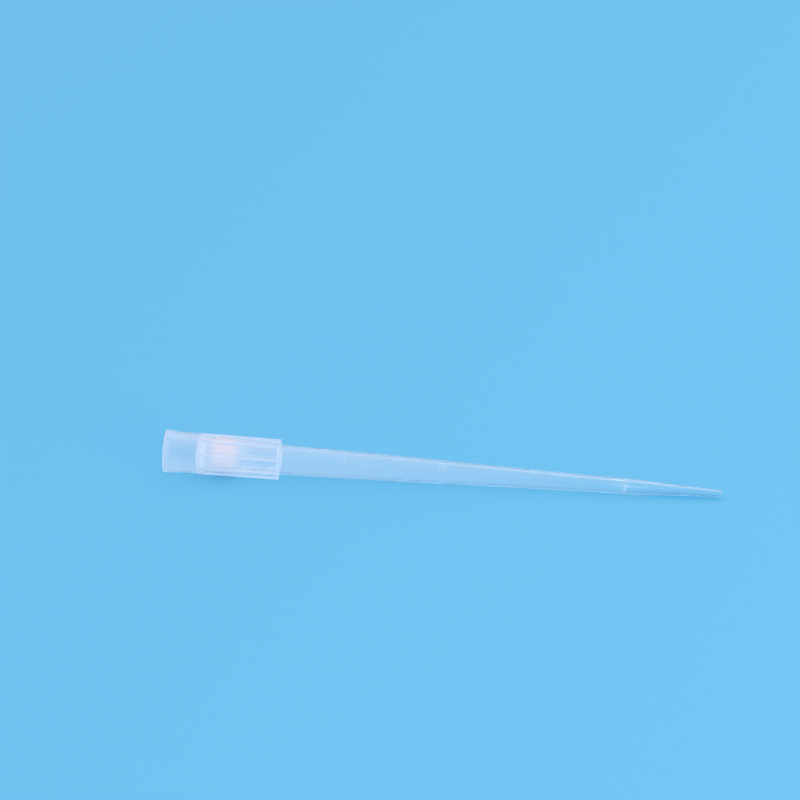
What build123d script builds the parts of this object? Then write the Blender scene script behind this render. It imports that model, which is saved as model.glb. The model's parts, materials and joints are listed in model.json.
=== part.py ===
from build123d import *

import os
from math import atan, cos, degrees, radians, sin

# Filter pipette tip of the one-millilitre class, with a long reach.
#
# The body is one moulding: a thin socket that a pipette's nozzle pushes into, a collar with
# fins, and a long cone down to the orifice. A plug of porous plastic, the filter, is pushed
# into the collar's tapered bore. Sizes are in millimetres, and places are measured along the
# tip's axis from its mouth. The tip lies along X, point forward, on its two lowest fins and
# the ring near its point, and the floor is Z = 0.

# Bores of the moulding, as radii
mouth_bore = 3.56
socket_bore = 3.25          # grips the pipette's nozzle
seat_bore = 2.93            # starts the filter's tapered seat
collar_end_bore = 2.35
land_bore = 1.06
orifice_bore = 0.38

# Walls of the moulding
lip_wall = 0.40
socket_wall = 0.44
collar_wall = 0.50
cone_wall = 0.42
point_wall = 0.22

# Lengths of the moulding's stretches, from the mouth to the point
lip_length = 0.9            # plain band round the mouth
flare_length = 2.9          # lead-in, inside
socket_length = 3.2         # parallel bore behind the lead-in
shoulder_length = 0.4       # stops the nozzle
ledge_length = 0.6          # falls from the sleeve to the collar's cone
fin_length = 14.3
upper_cone_length = 13.0
middle_cone_length = 45.8
land_length = 4.5           # parallel stretch that ends in the moulded ring
point_length = 17.5

# Outside of the sleeve and the fins
waist_place = 4.6           # the sleeve is narrowest here
sleeve_end_radius = 3.77
sleeve_overlap = 0.4        # the sleeve covers the shoulder by this much
fin_count = 8
fin_thickness = 0.5
fin_inset = 0.04            # the fins start this far under the sleeve's edge
fin_end_radius = 3.70

# The upper cone tapers less than the middle one
upper_cone_fall = 0.215

# Moulded ring and volume marks, all raised lines
ring_width = 0.35
ring_height = 0.045
mark_width = 0.2
mark_height = 0.04
mark_arc = 36.0             # degrees round the cone
mark_pitch = 0.5
upper_mark_place = 33.3
lower_mark_place = 50.5
lower_mark_count = 3

# Rounded edges
rim_round = 0.12
point_round = 0.05

# Filter plug
filter_gap = 2.4            # from the shoulder to the plug
filter_length = 4.2
filter_clearance = 0.02     # a hair, so that the two solids stay apart
filter_chamfer = 0.15

# Places along the axis
socket_end = flare_length + socket_length
seat_start = socket_end + shoulder_length
sleeve_end = seat_start + sleeve_overlap
ledge_end = sleeve_end + ledge_length
fin_end = sleeve_end + fin_length
upper_cone_end = fin_end + upper_cone_length
land_start = upper_cone_end + middle_cone_length
ring_place = land_start + land_length
tip_length = ring_place + point_length
filter_start = seat_start + filter_gap
filter_end = filter_start + filter_length

# Radii that follow from the bores and the walls
lip_radius = mouth_bore + lip_wall
waist_radius = socket_bore + socket_wall
collar_end_radius = collar_end_bore + collar_wall
cone_radius = collar_end_bore + cone_wall
upper_cone_end_radius = cone_radius - upper_cone_fall
land_radius = land_bore + cone_wall
point_radius = orifice_bore + point_wall


def seat_radius(place):
    """Radius of the collar's tapered bore at a place along the axis."""
    share = (place - seat_start) / (fin_end - seat_start)
    return seat_bore + share * (collar_end_bore - seat_bore)


def middle_cone_radius(place):
    """Outer radius of the middle cone at a place along the axis."""
    share = (place - upper_cone_end) / middle_cone_length
    return upper_cone_end_radius + share * (land_radius - upper_cone_end_radius)


def upper_cone_radius(place):
    """Outer radius of the upper cone at a place along the axis."""
    return cone_radius - upper_cone_fall * (place - fin_end) / upper_cone_length


ledge_radius = seat_radius(ledge_end) + collar_wall

# The tip rests on whichever of its lip and its two lowest fins reaches down further behind
# its balance, and whichever of the ring and the point's rim does ahead of it.
fin_pitch = 360 / fin_count
fin_turn = radians(fin_pitch / 2)
fin_drop = fin_end_radius * cos(fin_turn) + fin_thickness / 2 * sin(fin_turn)
rear_supports = [(lip_length, lip_radius), (fin_end, fin_drop)]
front_supports = [(ring_place, land_radius + ring_height), (tip_length, point_radius)]
floor_slope = min(
    max((rear_drop - front_drop) / (front - rear) for rear, rear_drop in rear_supports)
    for front, front_drop in front_supports
)
lean = atan(floor_slope)
mouth_drop = max(drop + floor_slope * place for place, drop in rear_supports)

# In the axial plane, local X runs along the axis from the mouth and local Y points up
axial_plane = Plane(
    origin=(-tip_length / 2 * cos(lean), 0, mouth_drop * cos(lean)),
    x_dir=(cos(lean), 0, -sin(lean)),
    z_dir=(0, -1, 0),
)
tip_axis = Axis(axial_plane.origin, axial_plane.x_dir)


def turned_plane(angle):
    """The axial plane turned about the tip's axis by an angle in degrees, towards -Y."""
    normal = axial_plane.z_dir.rotate(tip_axis, angle)
    return Plane(axial_plane.origin, x_dir=axial_plane.x_dir, z_dir=normal)


with BuildPart() as tip_body:
    # Outside of the sleeve, the collar's cone and the long cone, as one turned solid
    with BuildSketch(axial_plane):
        with BuildLine():
            Polyline((waist_place, 0), (0, 0), (0, lip_radius), (lip_length, lip_radius))
            TangentArc(
                (waist_place, waist_radius),
                (lip_length, lip_radius),
                tangent=(-1, 0),
            )
            Polyline(
                (waist_place, waist_radius),
                (sleeve_end, sleeve_end_radius),
                (ledge_end, ledge_radius),
                (fin_end, collar_end_radius),
                (fin_end, cone_radius),
                (upper_cone_end, upper_cone_end_radius),
                (land_start, land_radius),
                (ring_place, land_radius),
                (tip_length, point_radius),
                (tip_length, 0),
                (waist_place, 0),
            )
        make_face()
    revolve(axis=tip_axis)

    # Fins: plates that stand on the collar's cone and end square
    for number in range(fin_count):
        with BuildSketch(turned_plane((number + 0.5) * fin_pitch)):
            with BuildLine():
                Polyline(
                    (sleeve_end, 0),
                    (sleeve_end, sleeve_end_radius - fin_inset),
                    (fin_end, fin_end_radius),
                    (fin_end, 0),
                    close=True,
                )
            make_face()
        extrude(amount=fin_thickness / 2, both=True)

    # Ring that ends the parallel land
    with BuildSketch(axial_plane):
        with Locations((ring_place - ring_width / 2, (land_radius + ring_height) / 2)):
            Rectangle(ring_width, land_radius + ring_height)
    revolve(axis=tip_axis)

    # Volume marks: one line high up, and a group of lines lower down
    marks = [(upper_mark_place, upper_cone_radius(upper_mark_place))]
    for number in range(lower_mark_count):
        place = lower_mark_place + number * mark_pitch
        marks.append((place, middle_cone_radius(place)))
    for place, radius in marks:
        with BuildSketch(turned_plane(fin_pitch - mark_arc / 2)):
            with Locations((place, (radius + mark_height) / 2)):
                Rectangle(mark_width, radius + mark_height)
        revolve(axis=tip_axis, revolution_arc=mark_arc)

    # Inside: lead-in, socket, shoulder, the filter's seat and the liquid's chamber
    with BuildSketch(axial_plane):
        with BuildLine():
            Polyline((flare_length, 0), (0, 0), (0, mouth_bore))
            TangentArc((flare_length, socket_bore), (0, mouth_bore), tangent=(-1, 0))
            Polyline(
                (flare_length, socket_bore),
                (socket_end, socket_bore),
                (seat_start, seat_bore),
                (fin_end, collar_end_bore),
                (upper_cone_end, upper_cone_end_radius - cone_wall),
                (land_start, land_bore),
                (ring_place, land_bore),
                (tip_length, orifice_bore),
                (tip_length, 0),
                (flare_length, 0),
            )
        make_face()
    revolve(axis=tip_axis, mode=Mode.SUBTRACT)

    # The mouth's and the point's rims are rounded
    ends = tip_body.edges().filter_by(GeomType.CIRCLE).group_by(tip_axis)
    fillet(ends[0], rim_round)
    fillet(ends[-1], point_round)

tip_body.part.label = "tip_body"


# The plug shares the seat's taper and is pushed in until its side grips
with BuildPart() as filter_plug:
    with BuildSketch(axial_plane):
        with BuildLine():
            Polyline(
                (filter_start, 0),
                (filter_start, seat_radius(filter_start) - filter_clearance),
                (filter_end, seat_radius(filter_end) - filter_clearance),
                (filter_end, 0),
                close=True,
            )
        make_face()
    revolve(axis=tip_axis)
    rims = filter_plug.edges().filter_by(GeomType.CIRCLE)
    chamfer(rims, filter_chamfer)

filter_plug.part.label = "filter_plug"


os.makedirs("parts", exist_ok=True)
export_step(tip_body.part, "parts/tip_body.step")
export_step(filter_plug.part, "parts/filter_plug.step")

print(f"length {tip_length:.1f} mm, lean {degrees(lean):.2f} degrees")
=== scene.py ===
import bmesh
import bpy
import json
from math import atan2, cos, degrees, pi, radians, sin
from mathutils import Matrix, Vector


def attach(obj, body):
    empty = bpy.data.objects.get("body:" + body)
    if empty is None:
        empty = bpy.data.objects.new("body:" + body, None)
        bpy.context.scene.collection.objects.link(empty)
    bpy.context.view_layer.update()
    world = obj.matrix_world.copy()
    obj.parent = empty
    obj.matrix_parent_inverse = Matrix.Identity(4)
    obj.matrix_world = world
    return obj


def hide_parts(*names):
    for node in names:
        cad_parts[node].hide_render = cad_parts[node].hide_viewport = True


# A filter pipette tip lying on a bench. The part's own numbers are in millimetres along the
# tip's axis, from its mouth, and turn into the frame's metres when a piece is finished.

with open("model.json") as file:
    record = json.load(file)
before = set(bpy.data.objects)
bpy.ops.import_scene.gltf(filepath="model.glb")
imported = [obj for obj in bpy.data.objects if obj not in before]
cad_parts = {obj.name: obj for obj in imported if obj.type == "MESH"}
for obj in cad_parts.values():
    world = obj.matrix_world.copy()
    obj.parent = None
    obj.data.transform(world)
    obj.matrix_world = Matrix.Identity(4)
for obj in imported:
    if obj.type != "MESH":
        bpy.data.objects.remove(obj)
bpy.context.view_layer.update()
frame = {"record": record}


# Bench and backdrop: one wide matt sheet in pale sky blue, the colour that clear tips are
# laid on to be seen. It is part of the stage.
floor_half = 3.0
floor_colour = (0.164, 0.525, 0.74, 1)

floor_mesh = bpy.data.meshes.new("bench")
bm = bmesh.new()
bmesh.ops.create_grid(bm, x_segments=1, y_segments=1, size=floor_half)
bm.to_mesh(floor_mesh)
bm.free()
bench = bpy.data.objects.new("bench", floor_mesh)
bpy.context.collection.objects.link(bench)

bench_paint = bpy.data.materials.new("bench_paint")
bench_paint.use_nodes = True
shader = bench_paint.node_tree.nodes["Principled BSDF"]
shader.inputs["Base Color"].default_value = floor_colour
shader.inputs["Roughness"].default_value = 0.75
shader.inputs["Specular IOR Level"].default_value = 0.25
floor_mesh.materials.append(bench_paint)


# Studio light: a white room whose lower walls take on the bench's blue, a large soft lamp
# behind and above to the right, and another low down in front to the right.
room_strength = 0.86
room_low = (0.36, 0.69, 1.04, 1)
room_high = (1.0, 0.97, 1.05, 1)
key_watts = 2.2
key_size = 0.9
key_place = Vector((0.44, 0.54, 0.84))
fill_watts = 10.0
fill_size = 0.7
fill_place = Vector((0.85, -0.75, 0.30))

world = bpy.data.worlds.new("room")
world.use_nodes = True
nodes = world.node_tree.nodes
links = world.node_tree.links
direction = nodes.new("ShaderNodeTexCoord")
rise = nodes.new("ShaderNodeSeparateXYZ")
links.new(direction.outputs["Generated"], rise.inputs["Vector"])
walls = nodes.new("ShaderNodeValToRGB")
walls.color_ramp.elements[0].position = 0.35
walls.color_ramp.elements[0].color = room_low
walls.color_ramp.elements[1].position = 0.85
walls.color_ramp.elements[1].color = room_high
links.new(rise.outputs["Z"], walls.inputs["Fac"])
links.new(walls.outputs["Color"], nodes["Background"].inputs["Color"])
nodes["Background"].inputs["Strength"].default_value = room_strength
bpy.context.scene.world = world


def add_lamp(name, watts, size, place):
    """A square soft lamp at a place, aimed at the part."""
    lamp = bpy.data.lights.new(name, "AREA")
    lamp.energy = watts
    lamp.size = size
    holder = bpy.data.objects.new(name, lamp)
    holder.location = place
    holder.rotation_euler = (-place).to_track_quat("-Z", "Y").to_euler()
    bpy.context.collection.objects.link(holder)


add_lamp("key", key_watts, key_size, key_place)
add_lamp("fill", fill_watts, fill_size, fill_place)


# Camera: a long lens that looks down on the bench, a little from the point's side.
camera_lens = 201.4
camera_turn = radians(6.167)
camera_height = radians(26)
camera_distance = 0.8166
aim_right = -0.00768
aim_up = 0.01545

ahead = Vector((-sin(camera_turn) * cos(camera_height),
                cos(camera_turn) * cos(camera_height), -sin(camera_height)))
right = Vector((cos(camera_turn), sin(camera_turn), 0))
above = right.cross(ahead)

camera_data = bpy.data.cameras.new("camera")
camera_data.lens = camera_lens
camera_data.sensor_width = 36
camera_data.clip_start = 0.01
camera = bpy.data.objects.new("camera", camera_data)
camera.location = aim_right * right + aim_up * above - camera_distance * ahead
camera.rotation_euler = ahead.to_track_quat("-Z", "Y").to_euler()
bpy.context.collection.objects.link(camera)
bpy.context.scene.camera = camera
bpy.context.scene.view_settings.view_transform = "Standard"


# Tip body: one thin moulding in natural polypropylene. The sleeve, the collar and the cone
# are turned from one section, and the fins and marks are drawn out of its skin.
steps_round = 144
step_turn = 360 / steps_round
mouth_bore = 3.56
lip_radius = 3.96
lip_length = 0.9
flare_length = 2.9
socket_bore = 3.25
waist_place = 4.6
waist_radius = 3.69
socket_end = 6.1
seat_start = 6.5
seat_bore = 2.93
sleeve_end = 6.9
sleeve_end_radius = 3.77
ledge_end = 7.5
fin_end = 21.2
collar_end_bore = 2.35
collar_wall = 0.50
cone_wall = 0.42
upper_cone_end = 34.2
upper_cone_end_radius = 2.555
land_start = 80.0
land_radius = 1.48
ring_place = 84.5
ring_width = 0.35
ring_height = 0.045
tip_length = 102.0
point_radius = 0.60
orifice_bore = 0.38
rim_round = 0.12
point_round = 0.05
edge_round = 0.1
fin_count = 8
fin_thickness = 0.5
fin_end_radius = 3.70
fin_steps = 4
fin_round = 0.07
mark_width = 0.2
mark_height = 0.04
mark_steps = 14
mark_places = (33.3, 50.5, 51.0, 51.5)
step_run = 0.02
weld = 0.0005
hair = 0.001
sharp_corner = 28

socket = next(m for m in frame["record"]["mounts"] if m["name"] == "pipette_socket")
tip_ahead = -Vector(socket["axis"])
tip_side = Vector((0, 1, 0))
tip_up = tip_ahead.cross(tip_side)
mouth = Vector(socket["pos_m"]) - tip_ahead * (flare_length + socket_end) / 2 / 1000
tip_turn = Matrix((tip_ahead, tip_side, tip_up)).transposed().to_4x4()
tip_matrix = tip_turn @ Matrix.Scale(0.001, 4)
tip_matrix.translation = mouth


def seat_radius(place):
    """Radius of the collar's tapered bore."""
    share = (place - seat_start) / (fin_end - seat_start)
    return seat_bore + (collar_end_bore - seat_bore) * share


def cone_radius(place):
    """Outer radius of the upper or the middle cone."""
    if place < upper_cone_end:
        start, end = fin_end, upper_cone_end
        wide, narrow = collar_end_bore + cone_wall, upper_cone_end_radius
    else:
        start, end = upper_cone_end, land_start
        wide, narrow = upper_cone_end_radius, land_radius
    return wide + (narrow - wide) * (place - start) / (end - start)


def fin_radius(place):
    """Radius of the fins' outer edge."""
    share = (place - sleeve_end) / (fin_end - sleeve_end)
    return sleeve_end_radius + (fin_end_radius - sleeve_end_radius) * share


def flare(start, wide, end, narrow, count=6):
    """Points of a flare that opens towards the mouth and meets the narrow end smoothly."""
    points = []
    for number in range(count):
        share = number / count
        radius = narrow + (wide - narrow) * (1 - share) ** 2
        points.append((start + share * (end - start), radius))
    return points


outside = flare(lip_length, lip_radius, waist_place, waist_radius)
outside.append((waist_place, waist_radius))
outside.append((sleeve_end, sleeve_end_radius))
outside.append((ledge_end, seat_radius(ledge_end) + collar_wall))
outside.append((fin_end, collar_end_bore + collar_wall))
outside.append((fin_end + step_run, cone_radius(fin_end)))
for place in sorted(mark_places + (upper_cone_end,)):
    if place == upper_cone_end:
        outside.append((place, upper_cone_end_radius))
    else:
        for edge in (place - mark_width / 2, place + mark_width / 2):
            outside.append((edge, cone_radius(edge)))
outside.append((land_start, land_radius))
outside.append((ring_place - ring_width, land_radius))
outside.append((ring_place - ring_width * 0.75, land_radius + ring_height))
outside.append((ring_place - ring_width * 0.25, land_radius + ring_height))
outside.append((ring_place, land_radius))
outside.append((tip_length, point_radius))

inside = [(tip_length, orifice_bore), (ring_place, land_radius - cone_wall),
          (land_start, land_radius - cone_wall),
          (upper_cone_end, upper_cone_end_radius - cone_wall),
          (fin_end, collar_end_bore), (seat_start, seat_bore),
          (socket_end, socket_bore), (flare_length, socket_bore)]
inside += reversed(flare(0, mouth_bore, flare_length, socket_bore))

bm = bmesh.new()
section = [bm.verts.new((0, 0, lip_radius))]
for place, radius in outside + inside:
    section.append(bm.verts.new((place, 0, radius)))
for first, second in zip(section, section[1:] + section[:1]):
    bm.edges.new((first, second))
for round_size, low, high in ((rim_round, -hair, hair),
                              (edge_round, socket_end - hair, ledge_end + hair),
                              (point_round, tip_length - hair, tip_length + hair)):
    corners = [v for v in bm.verts if low < v.co.x < high]
    bmesh.ops.bevel(bm, geom=corners, offset=round_size, offset_type="OFFSET", segments=4,
                    profile=0.5, affect="VERTICES", material=-1)
bmesh.ops.spin(bm, geom=bm.verts[:] + bm.edges[:], cent=(0, 0, 0), axis=(1, 0, 0),
               angle=2 * pi, steps=steps_round, use_merge=True)
bmesh.ops.remove_doubles(bm, verts=bm.verts[:], dist=weld)
bmesh.ops.recalc_face_normals(bm, faces=bm.faces[:])


def outer_faces(low, high, middle, half_turn):
    """The outer skin's faces between two places, and within half_turn degrees of middle."""
    chosen = []
    for face in bm.faces:
        centre = face.calc_center_median()
        turn = degrees(atan2(-centre.y, centre.z)) - middle
        turn = (turn + 180) % 360 - 180
        radial = Vector((0, centre.y, centre.z))
        if low < centre.x < high and abs(turn) < half_turn and face.normal.dot(radial) > 0:
            chosen.append(face)
    return chosen


# Volume marks: the skin between two close rings, drawn out over part of the way round
mark_turn = 360 / fin_count
mark_half_turn = mark_steps / 2 * step_turn
for place in mark_places:
    skin = outer_faces(place - mark_width / 2, place + mark_width / 2, mark_turn,
                       mark_half_turn)
    raised = bmesh.ops.extrude_face_region(bm, geom=skin)["geom"]
    for vertex in raised:
        if isinstance(vertex, bmesh.types.BMVert):
            radial = Vector((0, vertex.co.y, vertex.co.z))
            vertex.co += radial.normalized() * mark_height
    bmesh.ops.delete(bm, geom=skin, context="FACES")

# Fins: strips of the collar's skin drawn out into plates with parallel sides
fin_half_turn = fin_steps / 2 * step_turn
for number in range(fin_count):
    fin_turn = (number + 0.5) * 360 / fin_count
    skin = outer_faces(sleeve_end, fin_end, fin_turn, fin_half_turn)
    raised = bmesh.ops.extrude_face_region(bm, geom=skin)["geom"]
    out = Vector((0, -sin(radians(fin_turn)), cos(radians(fin_turn))))
    across = Vector((0, cos(radians(fin_turn)), sin(radians(fin_turn))))
    base_half = sin(radians(fin_half_turn))
    corners = []
    for vertex in raised:
        if isinstance(vertex, bmesh.types.BMVert) and vertex.co.x > sleeve_end + hair:
            radial = Vector((0, vertex.co.y, vertex.co.z))
            sideways = radial.dot(across) / (radial.length * base_half)
            target = fin_radius(vertex.co.x) * out + sideways * fin_thickness / 2 * across
            vertex.co = Vector((vertex.co.x, target.y, target.z))
            if abs(sideways) > 0.99:
                corners.append(vertex)
    bmesh.ops.delete(bm, geom=skin, context="FACES")
    edges = [e for e in raised if isinstance(e, bmesh.types.BMEdge)
             and e.verts[0] in corners and e.verts[1] in corners]
    bmesh.ops.bevel(bm, geom=edges, offset=fin_round, offset_type="OFFSET", segments=2,
                    profile=0.5, affect="EDGES", material=-1)
bmesh.ops.remove_doubles(bm, verts=bm.verts[:], dist=weld)
bmesh.ops.transform(bm, matrix=tip_matrix, verts=bm.verts[:])
bmesh.ops.recalc_face_normals(bm, faces=bm.faces[:])

body_mesh = bpy.data.meshes.new("tip_shell")
bm.to_mesh(body_mesh)
bm.free()
body_mesh.shade_smooth()
body_mesh.set_sharp_from_angle(angle=radians(sharp_corner))
tip_shell = bpy.data.objects.new("tip_shell", body_mesh)
bpy.context.collection.objects.link(tip_shell)

clear_plastic = bpy.data.materials.new("natural_polypropylene")
clear_plastic.use_nodes = True
nodes = clear_plastic.node_tree.nodes
links = clear_plastic.node_tree.links
clear = nodes["Principled BSDF"]
clear.inputs["Base Color"].default_value = (1.0, 0.995, 1.0, 1)
clear.inputs["IOR"].default_value = 1.49
clear.inputs["Transmission Weight"].default_value = 1.0

# Places on the tip in its own millimetres: X along the axis from the mouth, Y and Z across it
body_spot = nodes.new("ShaderNodeTexCoord")
on_tip = nodes.new("ShaderNodeMapping")
on_tip.vector_type = "TEXTURE"
on_tip.inputs["Location"].default_value = mouth
on_tip.inputs["Rotation"].default_value = (0, -atan2(tip_ahead.z, tip_ahead.x), 0)
on_tip.inputs["Scale"].default_value = (0.001, 0.001, 0.001)
links.new(body_spot.outputs["Object"], on_tip.inputs["Vector"])
split = nodes.new("ShaderNodeSeparateXYZ")
links.new(on_tip.outputs["Vector"], split.inputs["Vector"])

# The plastic is milky, as natural polypropylene is: least where a thin wall faces the eye,
# more in the matt collar and where the wall is thick or ends, and most at a glancing angle.
# The extra milk at the mouth's rim, the socket's shoulder, the ledge and the fins' ends is
# partly real and partly a painted highlight, the bright lines where light catches these edges.
# Along the socket and the collar, each stop is a place, the least milkiness, the most, and
# the roughness
collar_stops = [(0.0, 0.9, 1.0, 0.2), (0.2, 0.9, 1.0, 0.2), (0.4, 0.11, 0.7, 0.15),
                (6.2, 0.11, 0.7, 0.15), (6.3, 0.8, 1.4, 0.3), (6.8, 0.8, 1.4, 0.3),
                (6.9, 0.2, 0.6, 0.2), (7.35, 0.2, 0.6, 0.2), (7.45, 0.7, 1.0, 0.25),
                (7.65, 0.7, 1.0, 0.25), (7.75, 0.13, 1.0, 0.15), (20.8, 0.13, 1.0, 0.15),
                (20.95, 0.95, 1.2, 0.3), (21.25, 0.95, 1.2, 0.3), (21.4, 0.12, 0.3, 0.15)]
collar_length = 25.5
# Along the cone, each stop is a place, the share that is left of the least milkiness and of
# the most, and how much of its light the narrowing bore bends away
cone_stops = [(25.5, 1.0, 1.0, 0.0), (34.2, 0.95, 0.9, 0.0), (50.0, 0.7, 0.6, 0.03),
              (70.0, 0.45, 0.35, 0.08), (84.0, 0.15, 0.25, 0.2), (94.0, 0.1, 0.2, 0.6),
              (102.0, 0.05, 0.15, 0.8)]
# More milk on the raised lines and the fins' outer edges, and streaks that vary all of it.
# On the ring, the marks and the point's rim the added milk is partly a painted highlight.
line_milk_and_highlight = 0.22
rim_line_length = 0.2
fin_edge_milk = 0.85
fin_edge_from = 3.0
fin_edge_to = 3.6
streak_depth = 0.15
# Milkiness where light is caught in the wall, which starts and ends at these glances, and how
# sharply the skin's own reflection takes over from the milk
caught_most = 0.9
caught_from = 0.26
caught_to = 0.7
skin_power = 4
milk_colour = (0.97, 0.89, 0.92, 1)


def add_ramp(stops):
    """A colour ramp with the given (share, red, green, blue) stops."""
    ramp = nodes.new("ShaderNodeValToRGB")
    elements = ramp.color_ramp.elements
    elements.remove(elements[1])
    for number, (share, red, green, blue) in enumerate(stops):
        stop = elements[0] if number == 0 else elements.new(share)
        stop.position = share
        stop.color = (red, green, blue, 1)
    return ramp


def add_math(operation, *values):
    """A math node on its inputs, each a socket or a number."""
    node = nodes.new("ShaderNodeMath")
    node.operation = operation
    for socket_in, value in zip(node.inputs, values):
        if isinstance(value, bpy.types.NodeSocket):
            links.new(value, socket_in)
        else:
            socket_in.default_value = value
    return node.outputs["Value"]


def add_range(value, low, high, start, end):
    """A map range node that turns low to high into start to end."""
    node = nodes.new("ShaderNodeMapRange")
    node.inputs["From Min"].default_value = low
    node.inputs["From Max"].default_value = high
    node.inputs["To Min"].default_value = start
    node.inputs["To Max"].default_value = end
    links.new(value, node.inputs["Value"])
    return node


collar_look = add_ramp([(place / collar_length, *look) for place, *look in collar_stops])
along_collar = add_range(split.outputs["X"], 0, collar_length, 0, 1)
links.new(along_collar.outputs["Result"], collar_look.inputs["Fac"])
cone_look = add_ramp([((place - collar_length) / (tip_length - collar_length), *look)
                      for place, *look in cone_stops])
along_cone = add_range(split.outputs["X"], collar_length, tip_length, 0, 1)
links.new(along_cone.outputs["Result"], cone_look.inputs["Fac"])
collar_parts = nodes.new("ShaderNodeSeparateColor")
links.new(collar_look.outputs["Color"], collar_parts.inputs["Color"])
links.new(collar_parts.outputs["Blue"], clear.inputs["Roughness"])
cone_parts = nodes.new("ShaderNodeSeparateColor")
links.new(cone_look.outputs["Color"], cone_parts.inputs["Color"])

# Outer edges of the fins, where a look goes through the whole plate
off_axis = nodes.new("ShaderNodeCombineXYZ")
links.new(split.outputs["Y"], off_axis.inputs["Y"])
links.new(split.outputs["Z"], off_axis.inputs["Z"])
reach = nodes.new("ShaderNodeVectorMath")
reach.operation = "LENGTH"
links.new(off_axis.outputs["Vector"], reach.inputs[0])
fin_edge = add_range(reach.outputs["Value"], fin_edge_from, fin_edge_to, 0, fin_edge_milk)
behind_sleeve = add_math("GREATER_THAN", split.outputs["X"], sleeve_end + edge_round)
fin_milk = add_math("MULTIPLY", fin_edge.outputs["Result"], behind_sleeve)

# Raised lines and the point's rim: the ring, and the marks over their part of the way round
ring_line = add_math("COMPARE", split.outputs["X"], ring_place - ring_width / 2, ring_width / 2)
rim_line = add_math("GREATER_THAN", split.outputs["X"], tip_length - rim_line_length)
mark_line = add_math("COMPARE", split.outputs["X"], mark_places[0], mark_width / 2)
for place in mark_places[1:]:
    mark_line = add_math("ADD", mark_line,
                         add_math("COMPARE", split.outputs["X"], place, mark_width / 2))
turn = add_math("ARCTAN2", add_math("MULTIPLY", split.outputs["Y"], -1), split.outputs["Z"])
on_mark = add_math("COMPARE", turn, radians(mark_turn), radians(mark_half_turn))
mark_line = add_math("MULTIPLY", mark_line, on_mark)
lines = add_math("ADD", add_math("ADD", ring_line, rim_line), mark_line)

# Faint streaks along the axis, drawn by the melt as it filled the mould
stretch = nodes.new("ShaderNodeVectorMath")
stretch.operation = "MULTIPLY"
stretch.inputs[1].default_value = (0.03, 1, 1)
links.new(on_tip.outputs["Vector"], stretch.inputs[0])
flow = nodes.new("ShaderNodeTexNoise")
flow.inputs["Scale"].default_value = 1.6
flow.inputs["Detail"].default_value = 3
links.new(stretch.outputs["Vector"], flow.inputs["Vector"])
streaks = add_range(flow.outputs["Fac"], 0.35, 0.65, 1 - streak_depth, 1 + streak_depth)
flow_bump = nodes.new("ShaderNodeBump")
flow_bump.inputs["Strength"].default_value = 0.1
flow_bump.inputs["Distance"].default_value = 0.00003
links.new(flow.outputs["Fac"], flow_bump.inputs["Height"])
links.new(flow_bump.outputs["Normal"], clear.inputs["Normal"])

# How milky the wall looks, from its place and from how it faces the eye
least_milk = add_math("MULTIPLY", collar_parts.outputs["Red"], cone_parts.outputs["Red"])
least_milk = add_math("ADD", least_milk, fin_milk)
least_milk = add_math("MULTIPLY", least_milk, streaks.outputs["Result"])
# Added milk on the ring, the marks and the point's rim: partly real, partly a painted highlight
least_milk = add_math("ADD", least_milk, add_math("MULTIPLY", lines, line_milk_and_highlight))
facing = nodes.new("ShaderNodeLayerWeight")
facing.inputs["Blend"].default_value = 0.5
most_milk = add_math("MULTIPLY", collar_parts.outputs["Green"], cone_parts.outputs["Green"])
milkiness = add_range(facing.outputs["Facing"], 0, 1, 0, 1)
links.new(least_milk, milkiness.inputs["To Min"])
links.new(most_milk, milkiness.inputs["To Max"])

# The milk lies under the skin, whose own reflection wins at the steepest glance
under_skin = add_math("SUBTRACT", 1, add_math("POWER", facing.outputs["Facing"], skin_power))
seen_milk = add_math("MULTIPLY", milkiness.outputs["Result"], under_skin)

# Light that is caught in the wall goes a long way through the plastic
geometry = nodes.new("ShaderNodeNewGeometry")
caught = add_range(facing.outputs["Facing"], caught_from, caught_to, 0, caught_most)
caught_milk = add_math("MULTIPLY", caught.outputs["Result"], geometry.outputs["Backfacing"])
all_milk = add_math("MAXIMUM", seen_milk, caught_milk)

milk_back = nodes.new("ShaderNodeBsdfTranslucent")
milk_back.inputs["Color"].default_value = milk_colour
milk_front = nodes.new("ShaderNodeBsdfDiffuse")
milk_front.inputs["Color"].default_value = milk_colour
milk = nodes.new("ShaderNodeMixShader")
milk.inputs["Fac"].default_value = 0.5
links.new(milk_back.outputs["BSDF"], milk.inputs[1])
links.new(milk_front.outputs["BSDF"], milk.inputs[2])
body = nodes.new("ShaderNodeMixShader")
links.new(all_milk, body.inputs["Fac"])
links.new(clear.outputs["BSDF"], body.inputs[1])
links.new(milk.outputs["Shader"], body.inputs[2])

# Light from the lamps and the room goes straight through, a little weaker
shade = nodes.new("ShaderNodeMix")
shade.data_type = "RGBA"
shade.inputs["A"].default_value = (0.975, 0.985, 0.99, 1)
shade.inputs["B"].default_value = (0.55, 0.84, 0.92, 1)
glancing = add_range(facing.outputs["Facing"], 0.4, 1.0, 0, 1)
bent_away = add_math("MAXIMUM", glancing.outputs["Result"], cone_parts.outputs["Blue"])
links.new(bent_away, shade.inputs["Factor"])
lit_through = nodes.new("ShaderNodeBsdfTransparent")
links.new(shade.outputs["Result"], lit_through.inputs["Color"])
body_ray = nodes.new("ShaderNodeLightPath")
surface = body
for kind in ("Is Diffuse Ray", "Is Shadow Ray"):
    choice = nodes.new("ShaderNodeMixShader")
    links.new(body_ray.outputs[kind], choice.inputs["Fac"])
    links.new(surface.outputs["Shader"], choice.inputs[1])
    links.new(lit_through.outputs["BSDF"], choice.inputs[2])
    surface = choice
links.new(surface.outputs["Shader"], nodes["Material Output"].inputs["Surface"])
body_mesh.materials.append(clear_plastic)

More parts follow.
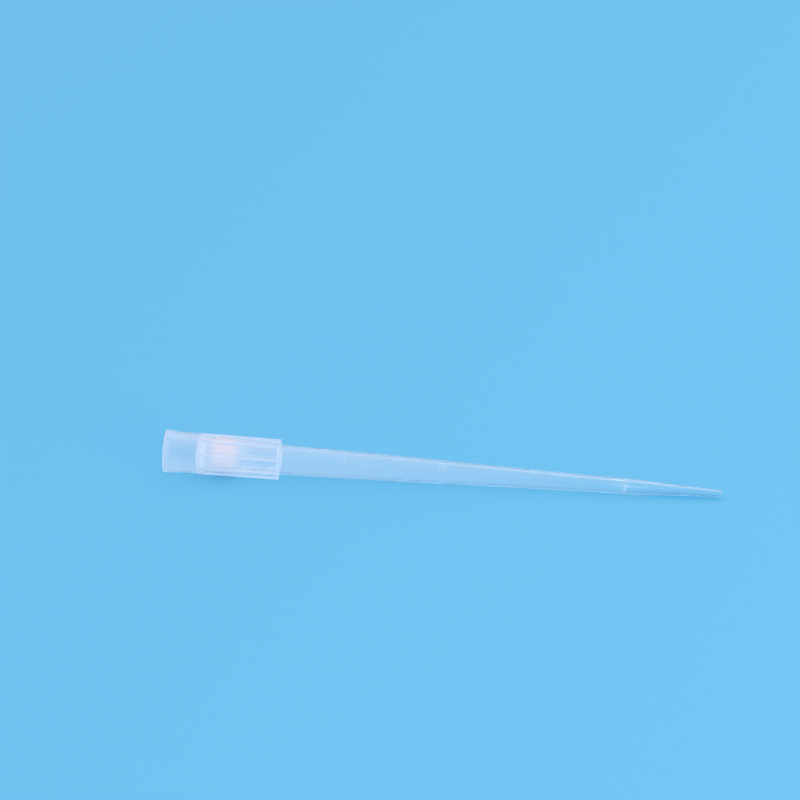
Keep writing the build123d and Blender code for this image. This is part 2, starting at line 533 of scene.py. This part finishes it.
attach(tip_shell, "root")
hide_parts("tip_body")


# Filter plug: a short plug of sintered polyethylene beads, pushed down the collar's tapered
# bore. Its side is squeezed into the wall, so that no air shows between them.
plug_start = 8.9
plug_length = 4.2
plug_squeeze = 0.04
plug_round = 0.2
plug_sharp_corner = 40
plug_end = plug_start + plug_length

bm = bmesh.new()
outline = [(plug_start, 0), (plug_start, seat_radius(plug_start) + plug_squeeze),
           (plug_end, seat_radius(plug_end) + plug_squeeze), (plug_end, 0)]
section = [bm.verts.new((place, 0, radius)) for place, radius in outline]
for first, second in zip(section, section[1:]):
    bm.edges.new((first, second))
bmesh.ops.bevel(bm, geom=section[1:3], offset=plug_round, offset_type="OFFSET", segments=4,
                profile=0.5, affect="VERTICES", material=-1)
bmesh.ops.spin(bm, geom=bm.verts[:] + bm.edges[:], cent=(0, 0, 0), axis=(1, 0, 0),
               angle=2 * pi, steps=steps_round, use_merge=True)
bmesh.ops.remove_doubles(bm, verts=bm.verts[:], dist=weld)
bmesh.ops.transform(bm, matrix=tip_matrix, verts=bm.verts[:])
bmesh.ops.recalc_face_normals(bm, faces=bm.faces[:])

plug_mesh = bpy.data.meshes.new("porous_plug")
bm.to_mesh(plug_mesh)
bm.free()
plug_mesh.shade_smooth()
plug_mesh.set_sharp_from_angle(angle=radians(plug_sharp_corner))
porous_plug = bpy.data.objects.new("porous_plug", plug_mesh)
bpy.context.collection.objects.link(porous_plug)

sintered = bpy.data.materials.new("sintered_polyethylene")
sintered.use_nodes = True
nodes = sintered.node_tree.nodes
links = sintered.node_tree.links
shader = nodes["Principled BSDF"]
shader.inputs["Roughness"].default_value = 0.7

# Beads of about 0.2 mm, melted together where they touch
plug_spot = nodes.new("ShaderNodeTexCoord")
beads = nodes.new("ShaderNodeTexVoronoi")
beads.inputs["Scale"].default_value = 5000
links.new(plug_spot.outputs["Object"], beads.inputs["Vector"])
bead_tint = nodes.new("ShaderNodeMix")
bead_tint.data_type = "RGBA"
bead_tint.inputs["A"].default_value = (0.88, 0.755, 0.755, 1)
bead_tint.inputs["B"].default_value = (0.88, 0.725, 0.735, 1)
links.new(beads.outputs["Distance"], bead_tint.inputs["Factor"])
links.new(bead_tint.outputs["Result"], shader.inputs["Base Color"])
bead_bump = nodes.new("ShaderNodeBump")
bead_bump.invert = True
bead_bump.inputs["Strength"].default_value = 0.5
bead_bump.inputs["Distance"].default_value = 0.00006
links.new(beads.outputs["Distance"], bead_bump.inputs["Height"])
links.new(bead_bump.outputs["Normal"], shader.inputs["Normal"])

# Light soaks through the beads, and a shadow ray loses only some of its strength
glow = nodes.new("ShaderNodeBsdfTranslucent")
links.new(bead_tint.outputs["Result"], glow.inputs["Color"])
porous = nodes.new("ShaderNodeMixShader")
porous.inputs["Fac"].default_value = 0.35
links.new(shader.outputs["BSDF"], porous.inputs[1])
links.new(glow.outputs["BSDF"], porous.inputs[2])
soaked_through = nodes.new("ShaderNodeBsdfTransparent")
soaked_through.inputs["Color"].default_value = (0.75, 0.82, 0.85, 1)
plug_ray = nodes.new("ShaderNodeLightPath")
plug_surface = nodes.new("ShaderNodeMixShader")
links.new(plug_ray.outputs["Is Shadow Ray"], plug_surface.inputs["Fac"])
links.new(porous.outputs["Shader"], plug_surface.inputs[1])
links.new(soaked_through.outputs["BSDF"], plug_surface.inputs[2])
links.new(plug_surface.outputs["Shader"], nodes["Material Output"].inputs["Surface"])
plug_mesh.materials.append(sintered)

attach(porous_plug, "root")
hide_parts("filter_plug")
